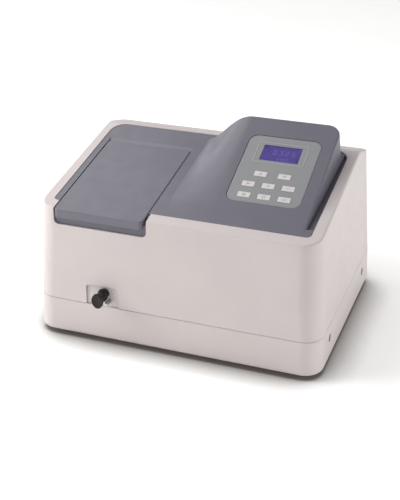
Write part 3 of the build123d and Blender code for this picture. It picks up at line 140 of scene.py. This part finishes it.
def mix(tree, factor, first, second):
    """Mix two colours."""
    node = add(tree, "Mix", data_type="RGBA")
    for socket, value in ((node.inputs[0], factor), (node.inputs[6], first), (node.inputs[7], second)):
        if isinstance(value, bpy.types.NodeSocket):
            tree.links.new(value, socket)
        elif isinstance(value, (int, float)):
            socket.default_value = value
        else:
            socket.default_value = (*value, 1)
    return node.outputs[2]


def shade(colour, factor):
    """The colour made darker or lighter."""
    return tuple(min(1.0, channel * factor) for channel in colour)


def edge_mask(tree, radius):
    """1 on edges sharper than the radius, 0 on open faces."""
    rounded = add(tree, "Bevel", {"Radius": radius}, samples=edge_samples).outputs["Normal"]
    flat = add(tree, "NewGeometry").outputs["Normal"]
    alike = add(tree, "VectorMath", {0: rounded, 1: flat}, operation="DOT_PRODUCT").outputs["Value"]
    return spread(tree, alike, 1.0, 0.0, 0.86, 0.995)


def crease_shade_mask(tree, reach):
    """1 in crevices, 0 where the surface lies open; the mask for painted shade in crevices."""
    open_sky = add(tree, "AmbientOcclusion", {"Distance": reach}, samples=crease_samples).outputs["AO"]
    return spread(tree, open_sky, 1.0, 0.0, 0.25, 0.95)


def rounded_bump(tree, heights, radius):
    """Bump from (height, strength, depth) layers over edges softened by the radius."""
    normal = add(tree, "Bevel", {"Radius": radius}, samples=edge_samples).outputs["Normal"]
    for height, strength, depth in heights:
        normal = add(
            tree, "Bump", {"Height": height, "Strength": strength, "Distance": depth, "Normal": normal}
        ).outputs["Normal"]
    return normal


def moulded_plastic(
    name, colour, roughness, grain=0.0007, relief=0.00004, mottle=0.03, wear=0.25, crease_shade_amount=0.25, radius=0.0006
):
    """Moulded plastic: spark-eroded grain, faint colour drift, worn edges, painted shade in crevices."""
    material, tree, shader = new_material(name)
    where = object_space(tree)
    cloud = spread(tree, noise(tree, where, 0.09, 3), 0, 1)
    fleck = spread(tree, noise(tree, where, grain * 2.5, 4), 0, 1)
    tone = mix(tree, cloud, shade(colour, 1 - mottle), shade(colour, 1 + mottle))
    tone = mix(tree, spread(tree, fleck, 0, 0.35, 0, 1), tone, shade(colour, 1 - 2 * mottle))
    edges = edge_mask(tree, radius * 1.5)
    worn = mix(tree, spread(tree, edges, 0, wear, 0, 1), tone, shade(colour, worn_edge))
    # painted shade: an occlusion mask darkens crevices towards a darker copy of the colour
    shaded_creases = crease_shade_mask(tree, 0.006)
    final = mix(tree, spread(tree, shaded_creases, 0, crease_shade_amount, 0, 1), worn, shade(colour, painted_crease_shade))
    tree.links.new(final, shader.inputs["Base Color"])
    gloss = spread(tree, noise(tree, where, 0.02, 4), roughness - 0.05, roughness + 0.05)
    tree.links.new(gloss, shader.inputs["Roughness"])
    pits = add(tree, "TexVoronoi", {"Vector": where, "Scale": 1 / grain}).outputs["Distance"]
    wave = noise(tree, where, 0.03, 2)
    tree.links.new(
        rounded_bump(tree, [(wave, 0.08, 0.0004), (pits, 0.35, relief)], radius), shader.inputs["Normal"]
    )
    shader.inputs["IOR"].default_value = 1.48
    return material


def metal(name, colour, roughness, stretch=(1, 1, 1), brush=0.0004, relief=0.00001, tarnish=0.12):
    """Bare metal with fine tool marks along the stretched direction and light tarnish."""
    material, tree, shader = new_material(name)
    where = object_space(tree)
    marks = noise(tree, object_space(tree, stretch), brush, 3, 0.6)
    stain = spread(tree, noise(tree, where, 0.012, 5), 0, 1)
    tone = mix(tree, stain, shade(colour, 1 - tarnish), colour)
    tone = mix(tree, spread(tree, marks, 0, 0.3), tone, shade(colour, 0.8))
    tree.links.new(tone, shader.inputs["Base Color"])
    tree.links.new(spread(tree, marks, roughness - 0.06, roughness + 0.08), shader.inputs["Roughness"])
    tree.links.new(rounded_bump(tree, [(marks, 0.3, relief)], 0.0003), shader.inputs["Normal"])
    shader.inputs["Metallic"].default_value = 1.0
    return material


def coated_metal(name, colour, roughness, grain=0.0005, relief=0.00003):
    """Powder coat or black anodising: orange peel, fine flecks, thin worn edges."""
    material, tree, shader = new_material(name)
    where = object_space(tree)
    peel = noise(tree, where, grain, 3)
    drift = spread(tree, noise(tree, where, 0.05, 4), 0, 1)
    tone = mix(tree, drift, shade(colour, 0.92), shade(colour, 1.08))
    edges = edge_mask(tree, 0.0006)
    tone = mix(tree, spread(tree, edges, 0, 0.3, 0, 1), tone, shade(colour, worn_coating))
    tree.links.new(tone, shader.inputs["Base Color"])
    tree.links.new(spread(tree, peel, roughness - 0.05, roughness + 0.07), shader.inputs["Roughness"])
    tree.links.new(rounded_bump(tree, [(peel, 0.4, relief)], 0.0003), shader.inputs["Normal"])
    return material


def clear_solid(name, colour, roughness, ior):
    """Clear plastic or glass with faint smears."""
    material, tree, shader = new_material(name)
    where = object_space(tree)
    smear = noise(tree, where, 0.008, 4)
    tree.links.new(
        mix(tree, spread(tree, smear, 0, 1), colour, shade(colour, 0.96)), shader.inputs["Base Color"]
    )
    tree.links.new(spread(tree, smear, roughness, roughness + 0.05), shader.inputs["Roughness"])
    shader.inputs["Transmission Weight"].default_value = 1.0
    shader.inputs["IOR"].default_value = ior
    return material


def rubber(name, colour, cell=0.0009):
    """Matt rubber or foam with open cells."""
    material, tree, shader = new_material(name)
    where = object_space(tree)
    cells = add(tree, "TexVoronoi", {"Vector": where, "Scale": 1 / cell}).outputs["Distance"]
    bloom = spread(tree, noise(tree, where, 0.01, 4), 0, 1)
    tree.links.new(mix(tree, bloom, colour, shade(colour, 1.6)), shader.inputs["Base Color"])
    tree.links.new(spread(tree, cells, 0.75, 0.92, 0, 1), shader.inputs["Roughness"])
    tree.links.new(rounded_bump(tree, [(cells, 0.5, 0.0001)], 0.0004), shader.inputs["Normal"])
    return material


def circuit_board(name):
    """Green solder mask with a net of brighter tracks."""
    material, tree, shader = new_material(name)
    where = object_space(tree)
    tracks = add(
        tree, "TexBrick",
        {"Vector": where, "Scale": 90.0, "Mortar Size": 0.06, "Color1": (0.02, 0.13, 0.06, 1),
         "Color2": (0.025, 0.16, 0.07, 1), "Mortar": (0.05, 0.28, 0.13, 1)},
    ).outputs["Color"]
    haze = spread(tree, noise(tree, where, 0.01, 3), 0, 0.3)
    tree.links.new(mix(tree, haze, tracks, (0.02, 0.08, 0.04)), shader.inputs["Base Color"])
    fine = noise(tree, where, 0.001, 2)
    tree.links.new(spread(tree, fine, 0.3, 0.45), shader.inputs["Roughness"])
    tree.links.new(rounded_bump(tree, [(fine, 0.2, 0.00002)], 0.0002), shader.inputs["Normal"])
    return material


def lit_display(name, colour, glow):
    """Backlit display: gently uneven field with a fine dot pitch."""
    material, tree, shader = new_material(name)
    where = object_space(tree)
    dots = add(tree, "TexVoronoi", {"Vector": where, "Scale": 1 / display_dot}, distance="CHEBYCHEV")
    pitch = spread(tree, dots.outputs["Distance"], 0.0, 0.12, 0, 1)
    field = spread(tree, noise(tree, where, 0.03, 1), 0, 1)
    tone = mix(tree, field, shade(colour, 0.9), shade(colour, 1.12))
    tone = mix(tree, pitch, tone, shade(colour, 0.6))
    tree.links.new(tone, shader.inputs["Base Color"])
    tree.links.new(tone, shader.inputs["Emission Color"])
    shader.inputs["Emission Strength"].default_value = glow
    tree.links.new(spread(tree, field, 0.25, 0.35, 0, 1), shader.inputs["Roughness"])
    return material


# ---------------------------------------------------------------- materials, one for each slot
deck_colour = (0.162, 0.156, 0.192)
materials = {
    "casing": moulded_plastic("casing_plastic", (0.66, 0.598, 0.590), 0.42, crease_shade_amount=0.3),
    "deck": moulded_plastic("deck_plastic", deck_colour, 0.36, wear=0.35, crease_shade_amount=0.1),
    "lid": moulded_plastic("lid_plastic", shade(deck_colour, 1.03), 0.36, wear=0.35),
    "plate": moulded_plastic("plate_plastic", (0.285, 0.290, 0.300), 0.36, grain=0.0004, mottle=0.015),
    "key": moulded_plastic("key_plastic", (0.68, 0.65, 0.65), 0.45, grain=0.0004, mottle=0.02),
    "knob": moulded_plastic("knob_plastic", (0.006, 0.004, 0.004), 0.62, grain=0.0005, mottle=0.15, wear=0.1),
    "black_plastic": moulded_plastic("black_plastic", (0.02, 0.02, 0.022), 0.45, mottle=0.1),
    "white_plastic": moulded_plastic("white_plastic", (0.78, 0.78, 0.76), 0.5),
    "rocker": moulded_plastic("rocker_plastic", (0.02, 0.02, 0.02), 0.22, grain=0.0005, mottle=0.1),
    "ceramic": moulded_plastic("lamp_ceramic", (0.75, 0.72, 0.64), 0.7, relief=0.00008),
    "display": clear_solid("display_window", (0.90, 0.90, 0.97), 0.04, 1.46),
    "glass": clear_solid("cell_glass", (0.93, 0.97, 0.98), 0.0, 1.46),
    "filter": clear_solid("filter_glass_amber", (0.85, 0.55, 0.15), 0.02, 1.5),
    "steel": metal("turned_steel", (0.56, 0.54, 0.51), 0.28, (1, 8, 1)),
    "aluminium": metal("milled_aluminium", (0.74, 0.75, 0.76), 0.38, (6, 1, 1)),
    "zinc_sheet": metal("zinc_sheet", (0.60, 0.61, 0.62), 0.42, brush=0.004, tarnish=0.2),
    "mirror": metal("front_mirror", (0.92, 0.92, 0.93), 0.07, relief=0.000001, tarnish=0.02),
    "rear_sheet": coated_metal("rear_powder_coat", (0.42, 0.40, 0.40), 0.5),
    "black_anodised": coated_metal("black_anodised", (0.05, 0.05, 0.054), 0.55),
    "circuit_board": circuit_board("circuit_board"),
    "rubber": rubber("foot_rubber", (0.018, 0.018, 0.018)),
    "seal_foam": rubber("seal_foam", (0.03, 0.03, 0.032), 0.0014),
}

# The display's field and figures, and the print on the keys and the plate
lcd_field = lit_display("lcd_field", (0.055, 0.033, 0.21), 0.75)
lcd_marks = lit_display("lcd_marks", (0.14, 0.11, 0.32), 0.8)
key_print = moulded_plastic("key_print", (0.46, 0.45, 0.46), 0.5, grain=0.0004)
frame_print = moulded_plastic("frame_print", (0.42, 0.42, 0.425), 0.45, grain=0.0004)


def dress_nodes():
    """Give every CAD node the material of its slot in the record."""
    for part in frame["record"]["subparts"]:
        piece = nodes[part["node"]]
        piece.data.materials.clear()
        piece.data.materials.append(materials[part["material_slot"]])
    nodes["lcd_glass"].data.materials[0] = lcd_field


# ---------------------------------------------------------------- small pieces on the console
def on_face(node, surface, lift):
    """Point over a node's centre, lifted off the surface node's top along the console face's normal."""
    centre = box_centre(node)
    top = max(vertex.co.dot(face_normal) for vertex in nodes[surface].data.vertices)
    return centre + face_normal * (top - centre.dot(face_normal) + lift)


def prism(mesh, outline, origin, height):
    """Raised flat figure on the console face: outline in metres across and up from origin."""
    rings = []
    for level in (0.0, height):
        rings.append(
            [
                mesh.verts.new(origin + face_across * x + face_up * y + face_normal * level)
                for x, y in outline
            ]
        )
    mesh.faces.new(rings[1])
    mesh.faces.new(list(reversed(rings[0])))
    for index in range(len(outline)):
        after = (index + 1) % len(outline)
        mesh.faces.new((rings[0][index], rings[0][after], rings[1][after], rings[1][index]))


def finish_piece(mesh, name, material, body):
    """Turn a bmesh into an object that rides on its body."""
    bmesh.ops.recalc_face_normals(mesh, faces=mesh.faces)
    data = bpy.data.meshes.new(name)
    mesh.to_mesh(data)
    mesh.free()
    data.materials.append(material)
    piece = bpy.data.objects.new(name, data)
    bpy.context.scene.collection.objects.link(piece)
    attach(piece, body)


def bar(x, y, width, height):
    """Outline of a rectangle centred on x, y."""
    return [
        (x - width / 2, y - height / 2), (x + width / 2, y - height / 2),
        (x + width / 2, y + height / 2), (x - width / 2, y + height / 2),
    ]


# Bars of a seven-segment figure: a, g and d lie from top to bottom, b and c stand right, f and e left
lit_segments = {"0": "abcdef", "2": "abged", "3": "abgcd", "4": "fgbc", "5": "afgcd", "6": "afgedc"}


def figure_bars(figure, width, height, stroke):
    """Centre, width and height of each bar of one figure, about the figure's centre."""
    side = (width - stroke) / 2
    half = (height - stroke) / 2
    across = width - stroke
    upright = half - stroke / 4
    places = {
        "a": (0, half, across, stroke),
        "g": (0, 0, across, stroke),
        "d": (0, -half, across, stroke),
        "b": (side, half / 2, stroke, upright),
        "c": (side, -half / 2, stroke, upright),
        "f": (-side, half / 2, stroke, upright),
        "e": (-side, -half / 2, stroke, upright),
    }
    return [places[segment] for segment in lit_segments[figure]]


def display_figures():
    """Two lines of plain numbers on the display's glass."""
    mesh = bmesh.new()
    glass_top = box_centre("lcd_glass") + face_normal * figure_lift
    shift_right = 0.004
    # figures, place up the face, a figure's width and height, stroke, pitch
    large_line = ("0325", 0.0035, 0.0052, 0.0098, 0.0009, 0.0098)
    small_line = ("5460", -0.0105, 0.0026, 0.0046, 0.0005, 0.0046)
    for text, up, width, height, stroke, pitch in (large_line, small_line):
        start = -pitch * (len(text) - 1) / 2 + shift_right
        for index, figure in enumerate(text):
            x = start + index * pitch
            for bar_x, bar_y, bar_width, bar_height in figure_bars(figure, width, height, stroke):
                outline = bar(x + bar_x, up + bar_y, bar_width, bar_height)
                prism(mesh, outline, glass_top, figure_thickness)
    finish_piece(mesh, "display_figures", lcd_marks, "root")


def rounded_loop(width, height, radius):
    """Corner points of a rounded rectangle about its centre."""
    points = []
    for quarter, (x_side, y_side) in enumerate(((1, 1), (-1, 1), (-1, -1), (1, -1))):
        for step in range(corner_steps + 1):
            turn = radians(90 * (quarter + step / corner_steps))
            points.append(
                (
                    x_side * (width / 2 - radius) + radius * cos(turn),
                    y_side * (height / 2 - radius) + radius * sin(turn),
                )
            )
    return points


def display_frame():
    """Pale printed line on the plate, round the display."""
    origin = on_face("lcd_window", "control_plate", 2 * print_lift)
    outer_radius = 0.004
    inner_radius = 0.0025
    wider, taller = frame_outside
    outer = rounded_loop(display_width + wider, display_height + taller, outer_radius)
    wider, taller = frame_inside
    inner = rounded_loop(display_width + wider, display_height + taller, inner_radius)
    mesh = bmesh.new()
    for index in range(len(outer)):
        after = (index + 1) % len(outer)
        outline = [outer[index], outer[after], inner[after], inner[index]]
        prism(mesh, outline, origin, print_thickness)
    bmesh.ops.remove_doubles(mesh, verts=mesh.verts, dist=print_lift)
    finish_piece(mesh, "display_frame_line", frame_print, "root")


def key_figures():
    """Plain printed pictograms, one on each key."""
    small = 0.0032                  # half the width of a triangle
    wide = 2.2 * small
    tall = 1.9 * small
    square = 1.6 * small
    line = 0.0009
    pause_line = 0.0011
    pause_offset = 0.0016
    equals_width = 2.4 * small
    equals_line = 0.0008
    equals_offset = 0.0014
    triangle_up = [(-small, -small * 0.7), (small, -small * 0.7), (0, small)]
    triangle_down = [(x, -y) for x, y in triangle_up]
    triangle_right = [(y * 1.1, x * 0.9) for x, y in triangle_up]
    figures = [
        [triangle_up],
        [triangle_down],
        [triangle_right],
        [bar(0, 0, wide, line), bar(0, 0, line, tall)],
        [bar(0, 0, wide, line)],
        [bar(0, 0, square, square)],
        [bar(side * pause_offset, 0, pause_line, tall) for side in (-1, 1)],
        [bar(0, side * equals_offset, equals_width, equals_line) for side in (1, -1)],
    ]
    for number, outlines in enumerate(figures, start=1):
        node = f"key_{number}"
        origin = on_face(node, node, print_lift)
        mesh = bmesh.new()
        for outline in outlines:
            prism(mesh, outline, origin, print_thickness)
        finish_piece(mesh, f"key_mark_{number}", key_print, f"key_{number}_body")


# ---------------------------------------------------------------- floor, lights, camera
def make_floor():
    """Plain pale floor, with a painted shadow where the object stands on it."""
    mesh = bmesh.new()
    bmesh.ops.create_grid(mesh, x_segments=8, y_segments=8, size=floor_size / 2)
    data = bpy.data.meshes.new("floor")
    mesh.to_mesh(data)
    mesh.free()
    floor = bpy.data.objects.new("floor", data)
    bpy.context.scene.collection.objects.link(floor)
    material, tree, shader = new_material("floor_paint")
    where = object_space(tree)
    tone = mix(tree, spread(tree, noise(tree, where, 0.4, 2), 0, 1), *floor_tones)
    # painted shadow: an occlusion mask darkens the floor's colour and glow towards the object
    open_sky = add(
        tree, "AmbientOcclusion", {"Distance": floor_painted_shadow_reach}, samples=floor_samples
    ).outputs["AO"]
    tone = mix(tree, spread(tree, open_sky, 1.0, 0.0, 0.42, 0.88), tone, floor_painted_shadow)
    tree.links.new(tone, shader.inputs["Base Color"])
    shader.inputs["Roughness"].default_value = 0.8
    shader.inputs["Specular IOR Level"].default_value = 0.2
    tree.links.new(tone, shader.inputs["Emission Color"])
    shader.inputs["Emission Strength"].default_value = floor_glow
    data.materials.append(material)


def area_light(name, place, target, width, height, power, colour=(1, 1, 1)):
    """A softbox at place, facing target."""
    data = bpy.data.lights.new(name, "AREA")
    data.shape = "RECTANGLE"
    data.size = width
    data.size_y = height
    data.energy = power
    data.color = colour
    light = bpy.data.objects.new(name, data)
    bpy.context.scene.collection.objects.link(light)
    light.location = place
    light.rotation_euler = (Vector(target) - Vector(place)).to_track_quat("-Z", "Y").to_euler()


def make_lights():
    """Large softboxes and a pale surround."""
    area_light("left_key", (-2.2, -0.8, 1.25), (-0.05, 0, 0.12), 1.1, 1.0, 38, (1.0, 0.985, 0.97))
    area_light("back_left", (-3.6, 3.4, 1.7), (-0.1, 0, 0.2), 2.2, 1.4, 14)
    area_light("back_high", (-2.6, 3.0, 3.6), (-0.1, 0, 0.2), 2.0, 1.6, 18)
    area_light("overhead", (-1.1, -0.3, 2.1), (-0.15, 0, 0.1), 1.3, 1.3, 19)
    area_light("right_side", (3.8, 0.4, 1.1), (0, 0, 0.15), 2.4, 1.4, 52, (1.0, 0.985, 0.98))
    world = bpy.data.worlds.new("surround")
    world.use_nodes = True
    background = world.node_tree.nodes["Background"].inputs
    background["Color"].default_value = (1, 1, 1, 1)
    background["Strength"].default_value = 0.33
    bpy.context.scene.world = world
    bpy.context.scene.view_settings.view_transform = "Standard"


def make_camera():
    """The photograph's point of view."""
    level = cos(camera_elevation)
    back = Vector((sin(camera_azimuth) * level, -cos(camera_azimuth) * level, sin(camera_elevation)))
    right = (-back).cross(Vector((0, 0, 1))).normalized()
    up = back.cross(right)
    across = right * cos(camera_roll) + up * sin(camera_roll)
    upward = up * cos(camera_roll) - right * sin(camera_roll)
    data = bpy.data.cameras.new("camera")
    data.lens = camera_lens
    camera = bpy.data.objects.new("camera", data)
    bpy.context.scene.collection.objects.link(camera)
    turned = Matrix((across, upward, back)).transposed().to_4x4()
    camera.matrix_world = Matrix.Translation(aim + back * camera_distance) @ turned
    bpy.context.scene.camera = camera


make_camera()
make_floor()
make_lights()
dress_nodes()
display_figures()
display_frame()
key_figures()
